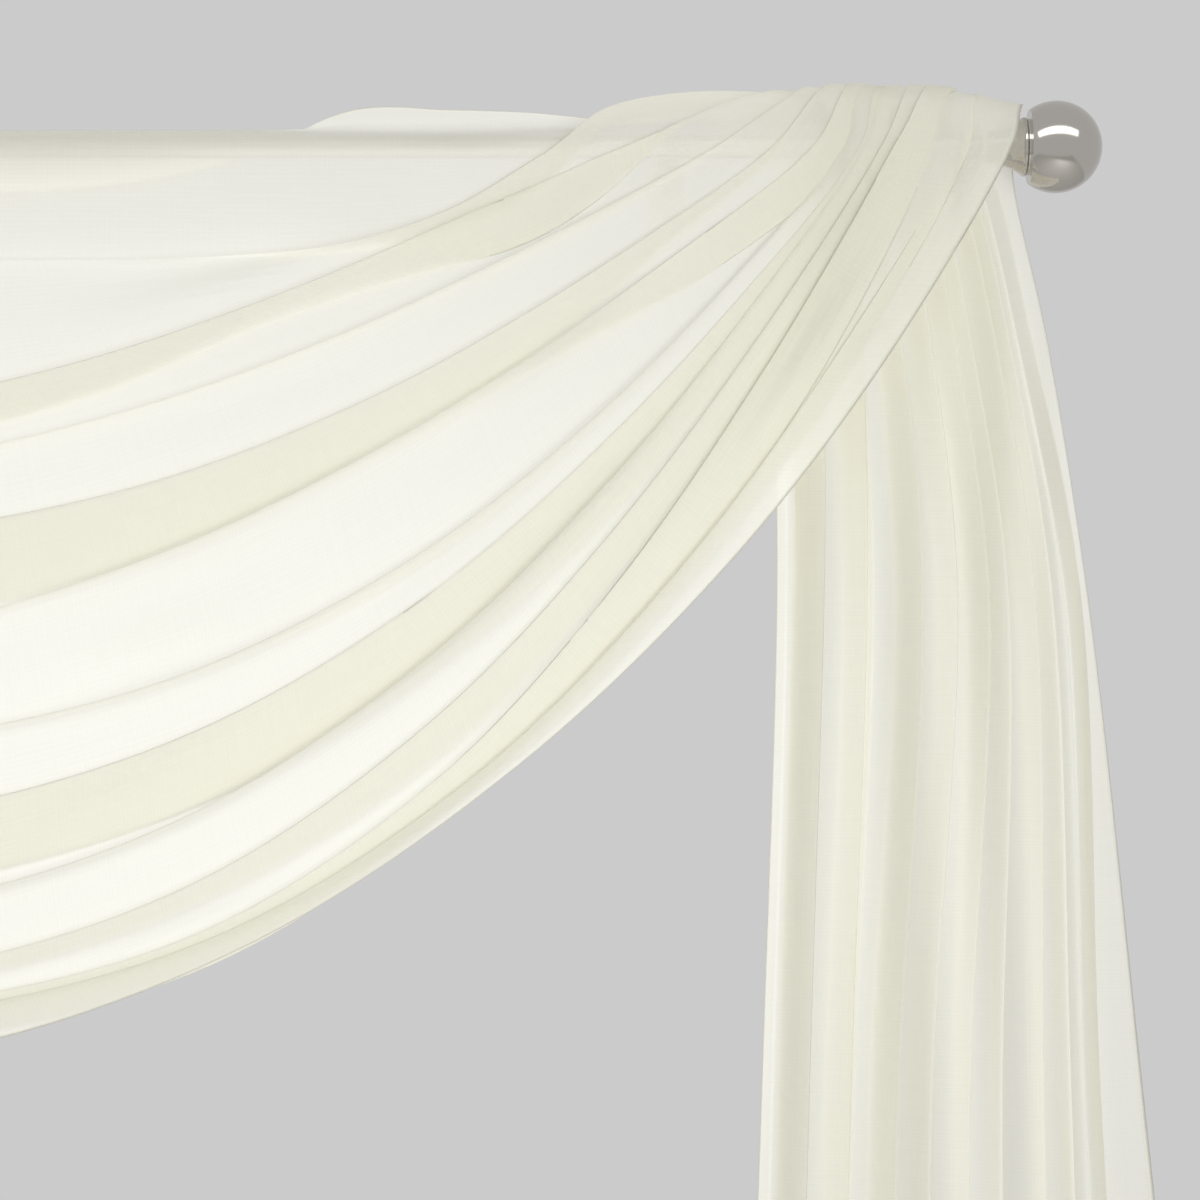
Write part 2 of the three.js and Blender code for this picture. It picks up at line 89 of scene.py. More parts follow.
# The folds of the scarf, from the upper one to the lower edge. Each is one line
# from the middle of the swag, up over the rod and down the tail. The columns are
# the solid's: cloth between two edges; how low, how bowed and how sagging the
# line hangs, and how far out in the middle and at the rod; where along the rod it
# rises, leans and crosses, and how high; then where it hangs in the tail. So are
# the rows, but in the tail the flap and the panel hang up to 12 and 18 mm further in.
FOLD_COLUMNS = (
    "cloth", "drop", "bow", "heave", "out", "front", "rise",
    "shoulder", "over", "lift", "throat", "tail", "low", "hem",
)
FOLD_ROWS = {
    "flap": (86, 80, 7, 0, 14, 17, 556, 592, 704, 37, 738, 733, 723, 702),
    "first": (112, 187, 1.75, 0, 17, 22, 605, 686, 724, 40, 754, 770, 758, 738),
    "second": (66, 228, 1.82, 0, 20, 24, 682, 727, 742, 43, 766, 788, 774, 760),
    "third": (66, 268, 2.2, 0, 23, 26, 717, 742, 757, 45.5, 778, 805, 788, 782),
    "fourth": (102, 345, 1.87, 0, 28, 29, 747, 765, 774, 46, 792, 833, 815, 812),
    "fifth": (98, 412, 2.4, 0, 32, 30, 776, 782, 788, 44.5, 808, 853, 846, 850),
    "sixth": (82, 462, 2.3, 0, 35, 31, 784, 790, 797, 44, 822, 874, 875, 890),
    "seventh": (84, 528, 2.3, 0, 38, 32, 788, 797, 805, 44, 835, 890, 902, 928),
    "eighth": (72, 570, 2.45, 0, 40, 33, 791, 803, 811, 44.5, 848, 910, 926, 964),
    "long": (50, 590, 2.8, 0, 42, 36, 794, 808, 818, 45, 862, 932, 946, 1000),
    "panel": (44, 598, 2.6, 6, 43, 33, 848, 853, 858, 38, 880, 936, 950, 1026),
    "edge": (43, 632, 2.25, 20, 44, 27, 890, 895, 899, 29, 896, 951, 990, 1084),
}

# Stations along the scarf, from the middle of the swag to the hem of one tail:
# kind, share of the way to the rod or height in the tail, angle gone round the
# rod, depth of the folds, and steps of the fine grid up to the next station. The
# solid's folds are deeper: 7 to 20 mm round the rod and 30 to 42 in the tails.
STATIONS = (
    ("swag", 0, 0, 9, 10),
    ("swag", 0.2, 0, 9, 10),
    ("swag", 0.42, 0, 10, 10),
    ("swag", 0.62, 0, 10, 10),
    ("swag", 0.78, 0, 11, 10),
    ("swag", 0.9, 4, 8, 10),
    ("rise", 0, 10, 5, 12),
    ("shoulder", 0, 48, 5, 10),
    ("over", 0, 90, 7, 8),
    ("nape", 0, 138, 11, 8),
    ("throat", -15, 176, 15, 12),
    ("neck", -130, 180, 18, 12),
    ("tail", -310, 180, 22, 12),
    ("low", -660, 180, 23, 12),
    ("fall", -1100, 180, 24, 12),
    ("hem", 0, 180, 24, 0),
)
SHOULDER_STATION = 7
NAPE_STATION = 9

# How far behind the rod's axis the tails begin
TAIL_CLEAR = 14
# Shares of a fold's height over the rod, and of its distance from it, where it
# leans over the front and where it starts down behind
SHOULDER_RISE = 0.72
SHOULDER_FORWARD = 0.75
NAPE_RISE = 0.6
NAPE_BACK = 0.8
# Where the neck and the fall stand between the tail's named columns
NECK_SHARE = 0.45
FALL_SHARE = 0.5
# A fold is no deeper than these shares of its cloth and of its slack. Folds
# shallower than FLAT_DEPTH flatten out, and their cloth laps by FLAT_TUCK. The
# slack is in square millimetres.
MOST_DEPTH_SHARE = 0.42
MOST_SLACK_SHARE = 0.45
FLAT_DEPTH = 5
FLAT_TUCK = 0.3
LEAST_SLACK = 1
# The hem's level and the steps in a segment while a line's cloth is measured
ROUGH_HEM_LEVEL = -1600
WALK_STEPS = 12
# Points of a curve closer than this are not told apart
LEAST_GAP = 1e-4

# The cloth turned over the rod: place at the middle, place where the selvage
# rises beside the gather, place in the tail, and the points (x, distance behind
# the rod, height) at the gather. In the tail the lines stand 4 to 18 mm behind
# where the tails begin, and the solid's 6 to 30.
TURNOVER = (
    {
        "behind": 12.4, "up": -30, "flap_behind": 8, "flap_up": 27,
        "tail": 731, "low": 720, "hem": 690, "back": 4,
        "rise": (560, 8, 25), "shoulder": (606, 10, 21), "over": (682, 12.5, 18),
        "nape": (704, 14, 5), "throat": (728, 19, -15),
    },
    {
        "behind": 12.4, "up": -2, "flap_behind": 7, "flap_up": 17,
        "tail": 734, "low": 724, "hem": 698, "back": 9,
        "rise": (560, 5, 18.5), "shoulder": (604, 7, 17.5), "over": (690, 9, 17),
        "nape": (708, 14, 8), "throat": (731, 18, -15),
    },
    {
        "behind": 0, "up": 12.2, "flap_behind": 0, "flap_up": 12.2,
        "tail": 737, "low": 727, "hem": 704, "back": 14,
        "rise": (562, -1, 13), "shoulder": (604, -1, 14.5), "over": (694, 4, 16),
        "nape": (711, 14, 9), "throat": (734, 17, -15),
    },
    {
        "behind": -12.4, "up": -2, "flap_behind": -12.4, "flap_up": -2,
        "tail": 740, "low": 730, "hem": 709, "back": 18,
        "rise": (566, -14, 4), "shoulder": (604, -13, 9), "over": (698, -1, 16),
        "nape": (714, 13, 10), "throat": (737, 16, -15),
    },
)
# How far each fold laps over the one above: in the middle of the swag, at two
# thirds of its reach, over the rod and in the tail. None leaves it to the
# cloth's own width.
LAPS = {
    "first": (35, 20, None, None),
    "second": (4, 6, None, None),
    "third": (68, 40, None, 36),
    "fourth": (5, 8, None, None),
    "fifth": (5, 10, -2, None),
    "sixth": (58, 50, 26, None),
    "seventh": (4, 6, -2, None),
    "eighth": (15, 28, 26, None),
    "long": (28, 26, 52, None),
    "panel": (4, 10, 20, None),
}
TAIL_KINDS = ("neck", "tail", "low", "fall", "hem")
# Shares of the reach: up to the first the middle's lap holds, at the second the
# side's is reached
LAPS_MIDDLE = 0.3
LAPS_SIDE = 0.65

# Broad soft waves down each tail: middle of the crest at two levels, half width
# and height, all in millimetres
TAIL_WAVES = (
    (782, 758, 30, 12),
    (836, 846, 26, 13),
    (889, 905, 22, 13),
    (925, 940, 13, 7),
)
WAVE_LEVELS = (-140, -671)
# The heights at which the waves start and are full, and how far the tails stand
# back to make room for them
WAVES_FROM = -20
WAVES_FULL = -260
WAVE_BACK = 14

# Where the selvage starts to rise beside the gather, how long its rise is, and
# where the turned-over cloth meets the gather
FLAP_FROM = 290
FLAP_LENGTH = 150
TURNOVER_REACH = 560

# The left half is the right half mirrored, with its folds a little elsewhere
LEFT_SHIFT = {"over": 7, "tail": 9, "bow": 0.06}
LEFT_PHASE = {"over": 0.7, "tail": 2.2, "bow": 1.4}
LEFT_PACE = 2.1

# Grid columns across each kind of span of the sheet
TOP_STEPS = 8
FOLD_STEPS = 8
FACE_STEPS = 6
UNDER_STEPS = 6

# How far a point moves at each easing, how often the folds are eased in the swag,
# at the rod and in the tails, and the stations between which each softness gives
# way to the next
EASE_SHARE = 0.25
SWAG_PASSES = 4
ROD_PASSES = 30
TAIL_PASSES = 11
ROD_SOFT_FROM = 4
ROD_SOFT_TO = 7
TAIL_SOFT_FROM = 9
TAIL_SOFT_TO = 12

# The hems, folded back once: one grid step along the selvages, a deep one at the ends
HEM_LIFT = 0.8
SELVAGE_STEPS = 1
END_HEM = 25

# Soft creases of the swag, seen from the front: both ends (x, height), half
# width, and how far the cloth stands out there, or in where it is negative
CREASES = (
    (235, -106, 421, -61, 9, 5),
    (235, -137, 483, -54, 7, -5),
    (276, -202, 483, -140, 8, 3),
    (224, -375, 400, -326, 14, -6),
    (235, -340, 421, -275, 10, 4),
    (224, -464, 400, -382, 8, 4),
    (400, -354, 580, -223, 8, -5),
    (435, -409, 607, -285, 7, 4),
    (490, -209, 635, -85, 9, -6),
    (525, -326, 676, -175, 7, 5),
    (669, -244, 780, -78, 8, -6),
    (718, -188, 814, -57, 8, 5),
    (852, 14, 848, -78, 5, -4),
    (870, 23, 861, -44, 4, 4),
    (759, -161, 835, -85, 6, -4),
    (262, -561, 421, -499, 6, 4),
)
LEFT_CREASE_SHIFT = 12


def linear(hex_colour):
    """An sRGB hex colour as linear red, green, blue and full alpha."""
    parts = [int(hex_colour[i : i + 2], 16) / 255 for i in (1, 3, 5)]
    return [c / 12.92 if c <= 0.04045 else ((c + 0.055) / 1.055) ** 2.4 for c in parts] + [1.0]


def mix(a, b, t):
    return a + (b - a) * t


def smooth(t):
    c = np.clip(t, 0, 1)
    return c * c * (3 - 2 * c)


def unit(v):
    return v / np.linalg.norm(v)


def tail_x(line, kind):
    """Where a line hangs in the tail, between its named columns where it must be."""
    if kind == "neck":
        return mix(line["throat"], line["tail"], NECK_SHARE)
    if kind == "fall":
        return mix(line["low"], line["hem"], FALL_SHARE)
    return line[kind]


def edge_point(fold, station, depth, hem_level):
    """The upper edge of one fold at one station, in millimetres."""
    kind, reach, *_ = station
    front = ROD_Y - fold["front"]
    if kind == "swag":
        sag = fold["heave"] * math.sin(math.pi * reach**4)
        height = -fold["drop"] * (1 - reach ** fold["bow"]) - sag
        return np.array([fold["rise"] * reach, mix(ROD_Y - fold["out"], front, smooth(reach)), height])
    if kind == "rise":
        return np.array([fold["rise"], front, 0])
    if kind == "shoulder":
        forward = ROD_Y - SHOULDER_FORWARD * fold["front"]
        return np.array([fold["shoulder"], forward, fold["lift"] * SHOULDER_RISE])
    if kind == "over":
        return np.array([fold["over"], ROD_Y, fold["lift"]])
    if kind == "nape":
        back = ROD_Y + NAPE_BACK * (TAIL_CLEAR + depth)
        return np.array([mix(fold["over"], fold["throat"], 0.5), back, fold["lift"] * NAPE_RISE])
    level = hem_level if kind == "hem" else reach
    return np.array([tail_x(fold, kind), ROD_Y + TAIL_CLEAR + depth, level])


def turnover_point(line, station, hem_level):
    """A point of one of the four lines of the cloth turned over the rod."""
    kind, reach, *_ = station
    if kind == "swag":
        x = TURNOVER_REACH * reach
        flap = smooth((x - FLAP_FROM) / FLAP_LENGTH)
        behind = mix(line["behind"], line["flap_behind"], flap)
        return np.array([x, ROD_Y + behind, mix(line["up"], line["flap_up"], flap)])
    if kind in ("rise", "shoulder", "over", "nape", "throat"):
        x, behind, up = line[kind]
        return np.array([x, ROD_Y + behind, up])
    level = hem_level if kind == "hem" else reach
    placed = {**line, "throat": line["throat"][0]}
    return np.array([tail_x(placed, kind), ROD_Y + TAIL_CLEAR + line["back"], level])


def tuck_length(cloth, spacing, depth):
    """How far a hidden turn lies past its edge, so that the cloth keeps its width."""
    slack = cloth**2 - spacing**2
    root = max(1 - 4 * depth**2 / slack, 0)
    return (cloth * math.sqrt(root) - spacing) / 2


def across_direction(points, j, inward):
    """The way across the scarf: square to the line in the swag, along the rod above it."""
    if j >= SHOULDER_STATION:
        return np.array([1.0, 0, 0])
    along = np.array([1.0, 0, 0]) if j == 0 else points[j + 1] - points[j - 1]
    return unit(np.cross(inward, along))


def lapped(tuck, laps, kind, reach):
    """The hidden turn's distance past its edge, from the fold's laps where it has them."""
    middle, side, rod, tail = laps
    if kind in TAIL_KINDS:
        return tuck if tail is None else tail
    if kind in ("nape", "throat"):
        return tuck
    at_rod = tuck if rod is None else rod
    if kind != "swag":
        return at_rod
    if reach < LAPS_SIDE:
        return mix(middle, side, smooth((reach - LAPS_MIDDLE) / (LAPS_SIDE - LAPS_MIDDLE)))
    return mix(side, at_rod, smooth((reach - LAPS_SIDE) / (1 - LAPS_SIDE)))


def hidden_turn(fold, edge_line, line_before):
    """The turn behind a fold's edge, at each station."""
    turn = []
    for j, (kind, reach, angle, deep, _) in enumerate(STATIONS):
        bend = math.radians(angle)
        inward = np.array([0, math.cos(bend), -math.sin(bend)])
        across = across_direction(edge_line, j, inward)
        spacing = (edge_line[j] - line_before[j]) @ across
        slack = max(fold["cloth"] ** 2 - spacing**2, LEAST_SLACK)
        depth = min(deep, MOST_DEPTH_SHARE * fold["cloth"], MOST_SLACK_SHARE * math.sqrt(slack))
        flat = smooth(1 - depth / FLAT_DEPTH)
        tuck = mix(tuck_length(fold["cloth"], spacing, depth), -FLAT_TUCK * spacing, flat)
        if fold["name"] in LAPS:
            tuck = lapped(tuck, LAPS[fold["name"]], kind, reach)
        turn.append(edge_line[j] + tuck * across + depth * inward)
    return np.array(turn)


def half_lines(folds, hem_levels):
    """The lines of the scarf for one half: the turnover, then each fold's turn, edge and face."""
    lines = [
        np.array([turnover_point(line, station, hem_levels[0]) for station in STATIONS])
        for line in TURNOVER
    ]
    edges = [
        np.array([
            edge_point(fold, station, min(station[3], MOST_DEPTH_SHARE * fold["cloth"]), level)
            for station in STATIONS
        ])
        for fold, level in zip(folds, hem_levels[1:])
    ]
    befores = [lines[-1]] + edges[:-2]
    turns = [hidden_turn(fold, edge, before) for fold, edge, before in zip(folds[:-1], edges, befores)]
    for k, turn in enumerate(turns):
        after = turns[k + 1] if k + 1 < len(turns) else edges[-1]
        lines += [turn, edges[k], (edges[k] + after) / 2]
    return np.array(lines + [edges[-1]])


def spline(points, counts):
    """Centripetal curves through points[curve, point], with counts steps in each segment."""
    first = 2 * points[:, :1] - points[:, 1:2]
    last = 2 * points[:, -1:] - points[:, -2:-1]
    p = np.concatenate([first, points, last], axis=1)
    gap = np.maximum(np.linalg.norm(np.diff(p, axis=1), axis=2, keepdims=True) ** 0.5, LEAST_GAP)
    parts = []
    for i, count in enumerate(counts):
        p0, p1, p2, p3 = (p[:, i + k] for k in range(4))
        d0, d1, d2 = (gap[:, i + k] for k in range(3))
        leave = ((p1 - p0) / d0 - (p2 - p0) / (d0 + d1) + (p2 - p1) / d1) * d1
        arrive = ((p2 - p1) / d1 - (p3 - p1) / (d1 + d2) + (p3 - p2) / d2) * d1
        t = (np.arange(count) / count)[None, :, None]
        parts.append(
            (2 * t**3 - 3 * t**2 + 1) * p1[:, None]
            + (t**3 - 2 * t**2 + t) * leave[:, None]
            + (3 * t**2 - 2 * t**3) * p2[:, None]
            + (t**3 - t**2) * arrive[:, None]
        )
    return np.concatenate(parts + [points[:, -1:]], axis=1)


def settled_lines(folds):
    """The lines with each hem where the cloth of its own line runs out."""
    rough = half_lines(folds, [ROUGH_HEM_LEVEL] * (len(folds) + 1))
    kept = [0] + [len(TURNOVER) + 1 + 3 * k for k in range(len(folds) - 1)] + [len(rough) - 1]
    walks = spline(rough[kept][:, :-1], [WALK_STEPS] * (len(STATIONS) - 2))
    used = np.linalg.norm(np.diff(walks, axis=1), axis=2).sum(axis=1)
    return half_lines(folds, STATIONS[-2][1] - (CLOTH_LENGTH / 2 - used))


def left_fold(fold, k):
    """A fold of the left half, a little elsewhere than its mirror image."""
    sway = {c: LEFT_SHIFT[c] * math.sin(LEFT_PACE * k + LEFT_PHASE[c]) for c in LEFT_SHIFT}
    moved = {c: fold[c] + sway["over"] for c in ("rise", "shoulder", "over")}
    moved.update({c: fold[c] + sway["tail"] for c in ("tail", "low", "hem")})
    return {**fold, **moved, "bow": fold["bow"] + sway["bow"]}


def scarf_grid():
    """The cloth as points[across, along, xyz], from the selvage down and from left to right."""
    folds = [{"name": name, **dict(zip(FOLD_COLUMNS, row))} for name, row in FOLD_ROWS.items()]
    left = [left_fold(fold, k) for k, fold in enumerate(folds[:-1])] + [folds[-1]]
    right_half = settled_lines(folds)
    left_half = settled_lines(left)[:, :0:-1] * np.array([-1, 1, 1])
    whole = np.concatenate([left_half, right_half], axis=1)
    steps = [station[4] for station in STATIONS[:-1]]
    strips = spline(whole, steps[::-1] + steps)
    spans = [TOP_STEPS] * (len(TURNOVER) - 1)
    spans += [UNDER_STEPS] + [FOLD_STEPS, FACE_STEPS, UNDER_STEPS] * (len(folds) - 1)
    spans = spans[: len(whole) - 1]
    grid = softened(spline(strips.transpose(1, 0, 2), spans).transpose(1, 0, 2), steps)
    return waved(creased(grid, steps), steps)


def eased(grid, passes):
    """The grid with each point drawn towards its neighbours across the cloth."""
    for _ in range(passes):
        grid = grid.copy()
        grid[1:-1] += EASE_SHARE * (grid[:-2] + grid[2:] - 2 * grid[1:-1])
    return grid


def station_share(grid, steps, first, last):
    """How far each grid line is past the first station on its way to the last, from 0 to 1."""
    starts = np.cumsum([0] + steps)
    place = np.abs(np.arange(grid.shape[1]) - starts[-1])
    return smooth((place - starts[first]) / (starts[last] - starts[first]))[None, :, None]


def softened(grid, steps):
    """Voile rounds every fold a little, more where it is gathered, and hangs softly in the tails."""
    swag = eased(grid, SWAG_PASSES)
    tail = eased(swag, TAIL_PASSES)
    gather = eased(tail, ROD_PASSES - TAIL_PASSES)
    upper = mix(swag, gather, station_share(grid, steps, ROD_SOFT_FROM, ROD_SOFT_TO))
    return mix(upper, tail, station_share(grid, steps, TAIL_SOFT_FROM, TAIL_SOFT_TO))


def creased(grid, steps):
    """The small creases between the folds, in the swag and over the rod."""
    x, z = np.abs(grid[:, :, 0]) + LEFT_CREASE_SHIFT * (grid[:, :, 0] < 0), grid[:, :, 2]
    stand = np.zeros_like(x)
    for x1, z1, x2, z2, width, height in CREASES:
        length = math.hypot(x2 - x1, z2 - z1)
        along = np.clip(((x - x1) * (x2 - x1) + (z - z1) * (z2 - z1)) / length**2, 0, 1)
        off = np.hypot(x - mix(x1, x2, along), z - mix(z1, z2, along))
        stand += height * np.sin(math.pi * along) * np.exp(-((off / width) ** 2))
    front = 1 - station_share(grid, steps, NAPE_STATION - 1, NAPE_STATION)[:, :, 0]
    grid[:, :, 1] -= stand * front
    return grid


def waved(grid, steps):
    """The tails hang in broad waves, all their layers together."""
    x, z = np.abs(grid[:, :, 0]), grid[:, :, 2]
    behind = station_share(grid, steps, NAPE_STATION, NAPE_STATION + 1)[:, :, 0]
    share = smooth((z - WAVES_FROM) / (WAVES_FULL - WAVES_FROM)) * behind
    down = (z - WAVE_LEVELS[0]) / (WAVE_LEVELS[1] - WAVE_LEVELS[0])
    crest = np.zeros_like(x)
    for upper, lower, width, height in TAIL_WAVES:
        crest += height * np.exp(-(((x - mix(upper, lower, down)) / width) ** 2))
    grid[:, :, 1] += share * (WAVE_BACK - crest)
    return grid


def sheet_normals(grid):
    across = np.gradient(grid, axis=0)
    along = np.gradient(grid, axis=1)
    normals = np.cross(across, along)
    return normals / np.maximum(np.linalg.norm(normals, axis=2, keepdims=True), 1e-9)


def hemmed(grid):
    """The cloth with its selvages and ends folded over once, to the back."""
    lifted = grid - HEM_LIFT * sheet_normals(grid)
    upper = lifted[SELVAGE_STEPS:0:-1]
    lower = lifted[-2 : -2 - SELVAGE_STEPS : -1]
    grid = np.concatenate([upper, grid, lower])
    lifted = grid - HEM_LIFT * sheet_normals(grid)
    ends = []
    for edge, inner in ((0, 1), (-1, -2)):
        reach = np.linalg.norm(grid[:, inner] - grid[:, edge], axis=1).mean()
        ends.append(mix(lifted[:, edge], lifted[:, inner], END_HEM / reach)[:, None])
    return np.concatenate([ends[0], grid, ends[1]], axis=1)


def cloth_measures(grid):
    """How far across and along the flat cloth each grid line lies, in millimetres."""
    across = np.linalg.norm(np.diff(grid, axis=0), axis=2).mean(axis=1)
    along = np.linalg.norm(np.diff(grid, axis=1), axis=2).mean(axis=0)
    u = np.concatenate([[0], np.cumsum(across)])
    v = np.concatenate([[0], np.cumsum(along)])
    return u * CLOTH_WIDTH / u[-1], v * CLOTH_LENGTH / v[-1]


def sheet_mesh(name, grid, u, v):
    """A mesh of the grid's quads, with the flat cloth in metres as its UV map."""
    columns, rows = grid.shape[:2]
    index = np.arange(columns * rows).reshape(columns, rows)
    corners = [index[:-1, :-1], index[:-1, 1:], index[1:, 1:], index[1:, :-1]]
    faces = np.stack(corners, axis=-1).reshape(-1, 4)
    mesh = bpy.data.meshes.new(name)
    mesh.from_pydata((grid.reshape(-1, 3) * MM).tolist(), [], faces.tolist())
    flat = np.stack(np.meshgrid(u * MM, v * MM, indexing="ij"), axis=-1).reshape(-1, 2)
    layer = mesh.uv_layers.new(name="flat_cloth")
    layer.data.foreach_set("uv", flat[faces.ravel()].ravel())
    mesh.shade_smooth()
    piece = bpy.data.objects.new(name, mesh)
    bpy.context.scene.collection.objects.link(piece)
    return piece


def add_node(tree, kind, links=None, **settings):
    """Adds a node, sets its properties and sockets, and links its inputs."""
    node = tree.nodes.new(kind)
    for key, value in settings.items():
        if hasattr(node, key):
            setattr(node, key, value)
        else:
            node.inputs[key.replace("_", " ")].default_value = value
    for socket, source in (links or {}).items():
        tree.links.new(source, node.inputs[socket])
    return node


def new_material(name):
    material = bpy.data.materials.new(name)
    material.use_nodes = True
    material.node_tree.nodes.clear()
    return material, material.node_tree


# The voile's threads are about 0.3 mm apart, which is too fine for the picture,
# so the weave is drawn eight times as coarse, and its slubs 1.6 mm wide
WEAVE_SPACING = 2.4
SLUB_WIDTH = 1.6
SLUB_LENGTH = 70
# The wave texture runs through this many radians a unit at scale 1
WAVE_RADIANS = 20
# The weave's part in how thick the threads look, the thinnest and thickest
# places, how much of the cloth is open there, and how much light comes through
WEAVE_SHARE = 0.25
THIN_THREADS = 0.9
THICK_THREADS = 1.6
OPEN_AT_THIN = 0.21
OPEN_AT_THICK = 0.185
GLOW_SHARE = 0.5


def woven_polyester_voile():
    """Plain-woven voile: milky and matt, see-through between its threads, brighter with light behind."""
    material, tree = new_material("woven_polyester_voile")
    flat = add_node(tree, "ShaderNodeUVMap", uv_map="flat_cloth").outputs[0]
    fine = 1 / (SLUB_WIDTH * MM)
    long = 1 / (SLUB_LENGTH * MM)
    warp_place = add_node(tree, "ShaderNodeMapping", {"Vector": flat}, Scale=(fine, long, 1))
    weft_place = add_node(tree, "ShaderNodeMapping", {"Vector": flat}, Scale=(long, fine, 1))
    warp = add_node(tree, "ShaderNodeTexNoise", {"Vector": warp_place.outputs[0]}, Scale=1.0, Detail=1.0)
    weft = add_node(tree, "ShaderNodeTexNoise", {"Vector": weft_place.outputs[0]}, Scale=1.0, Detail=1.0)
    slubs = add_node(tree, "ShaderNodeMath", {0: warp.outputs[0], 1: weft.outputs[0]}, operation="ADD")
    spacing = 2 * math.pi / (WAVE_RADIANS * WEAVE_SPACING * MM)
    ends = add_node(tree, "ShaderNodeTexWave", {"Vector": flat}, bands_direction="X", Scale=spacing)
    picks = add_node(tree, "ShaderNodeTexWave", {"Vector": flat}, bands_direction="Y", Scale=spacing)
    weave = add_node(tree, "ShaderNodeMath", {0: ends.outputs[1], 1: picks.outputs[1]}, operation="ADD")
    threads = add_node(
        tree, "ShaderNodeMath", {0: weave.outputs[0], 2: slubs.outputs[0]}, operation="MULTIPLY_ADD"
    )
    threads.inputs[1].default_value = WEAVE_SHARE
    bump = add_node(tree, "ShaderNodeBump", {"Height": weave.outputs[0]}, Strength=0.2, Distance=0.0001)
    cloth = add_node(tree, "ShaderNodeBsdfPrincipled", {"Normal": bump.outputs[0]}, Roughness=0.8)
    cloth.inputs["Base Color"].default_value = linear("#F4F3E9")
    cloth.inputs["Sheen Weight"].default_value = 0.12
    glow = add_node(tree, "ShaderNodeBsdfTranslucent", {"Normal": bump.outputs[0]})
    glow.inputs["Color"].default_value = linear("#F5F4EC")
    lit = add_node(tree, "ShaderNodeMixShader", {1: cloth.outputs[0], 2: glow.outputs[0]})
    lit.inputs[0].default_value = GLOW_SHARE
    between = add_node(tree, "ShaderNodeMapRange", {"Value": threads.outputs[0]})
    between.inputs["From Min"].default_value = THIN_THREADS
    between.inputs["From Max"].default_value = THICK_THREADS
    between.inputs["To Min"].default_value = OPEN_AT_THIN
    between.inputs["To Max"].default_value = OPEN_AT_THICK
    gaps = add_node(tree, "ShaderNodeBsdfTransparent")
    sheer = add_node(
        tree, "ShaderNodeMixShader", {0: between.outputs[0], 1: lit.outputs[0], 2: gaps.outputs[0]}
    )
    add_node(tree, "ShaderNodeOutputMaterial", {"Surface": sheer.outputs[0]})
    return material


# Sizes of the metal's marks: hairlines left by polishing, the drawn grain of the
# tube, and the slow unevenness of the plating, in millimetres
HAIRLINE = 0.8
GRAIN_WIDTH = 0.5
GRAIN_LENGTH = 40
PLATING_PATCH = 18
# Roughness from the clearest to the dullest place of each finish
POLISHED_HAZE = (0.07, 0.16)
SATIN_HAZE = (0.28, 0.42)


def polished_nickel():
    """Warm nickel plate, polished: a clear mirror with a faint haze and fine hairlines."""
    material, tree = new_material("polished_nickel")
    place = add_node(tree, "ShaderNodeTexCoord").outputs["Object"]
    patches = add_node(tree, "ShaderNodeTexNoise", {"Vector": place}, Scale=1 / (PLATING_PATCH * MM))
    fine = 1 / (HAIRLINE * MM)
    hairs = add_node(tree, "ShaderNodeTexNoise", {"Vector": place}, Scale=fine, Detail=3.0)
    haze = add_node(tree, "ShaderNodeMapRange", {"Value": patches.outputs[0]})
    haze.inputs["To Min"].default_value, haze.inputs["To Max"].default_value = POLISHED_HAZE
    bump = add_node(tree, "ShaderNodeBump", {"Height": hairs.outputs[0]}, Strength=0.08, Distance=0.0002)
    links = {"Roughness": haze.outputs[0], "Normal": bump.outputs[0]}
    metal = add_node(tree, "ShaderNodeBsdfPrincipled", links, Metallic=1.0)
    metal.inputs["Base Color"].default_value = linear("#C8C4BE")
    add_node(tree, "ShaderNodeOutputMaterial", {"Surface": metal.outputs[0]})
    return material


def satin_nickel():
    """Satin nickel plate on drawn steel tube: a soft sheen with a grain along the rod."""
    material, tree = new_material("satin_nickel")
    place = add_node(tree, "ShaderNodeTexCoord").outputs["Object"]
    fine = 1 / (GRAIN_WIDTH * MM)
    long = 1 / (GRAIN_LENGTH * MM)
    drawn = add_node(tree, "ShaderNodeMapping", {"Vector": place}, Scale=(long, fine, fine))
    grain = add_node(tree, "ShaderNodeTexNoise", {"Vector": drawn.outputs[0]}, Scale=1.0, Detail=2.0)
    sheen = add_node(tree, "ShaderNodeMapRange", {"Value": grain.outputs[0]})
    sheen.inputs["To Min"].default_value, sheen.inputs["To Max"].default_value = SATIN_HAZE
    bump = add_node(tree, "ShaderNodeBump", {"Height": grain.outputs[0]}, Strength=0.15, Distance=0.0001)
    links = {"Roughness": sheen.outputs[0], "Normal": bump.outputs[0]}
    metal = add_node(tree, "ShaderNodeBsdfPrincipled", links, Metallic=1.0)
    metal.inputs["Base Color"].default_value = linear("#E4E2DC")
    add_node(tree, "ShaderNodeOutputMaterial", {"Surface": metal.outputs[0]})
    return material


def dress(piece, material):
    piece.data.materials.clear()
    piece.data.materials.append(material)


def build_scarf(material):
    grid = hemmed(scarf_grid())
    u, v = cloth_measures(grid)
    scarf = sheet_mesh("draped_scarf", grid, u, v)
    dress(scarf, material)
    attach(scarf, "root")
    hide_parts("scarf")
    return scarf


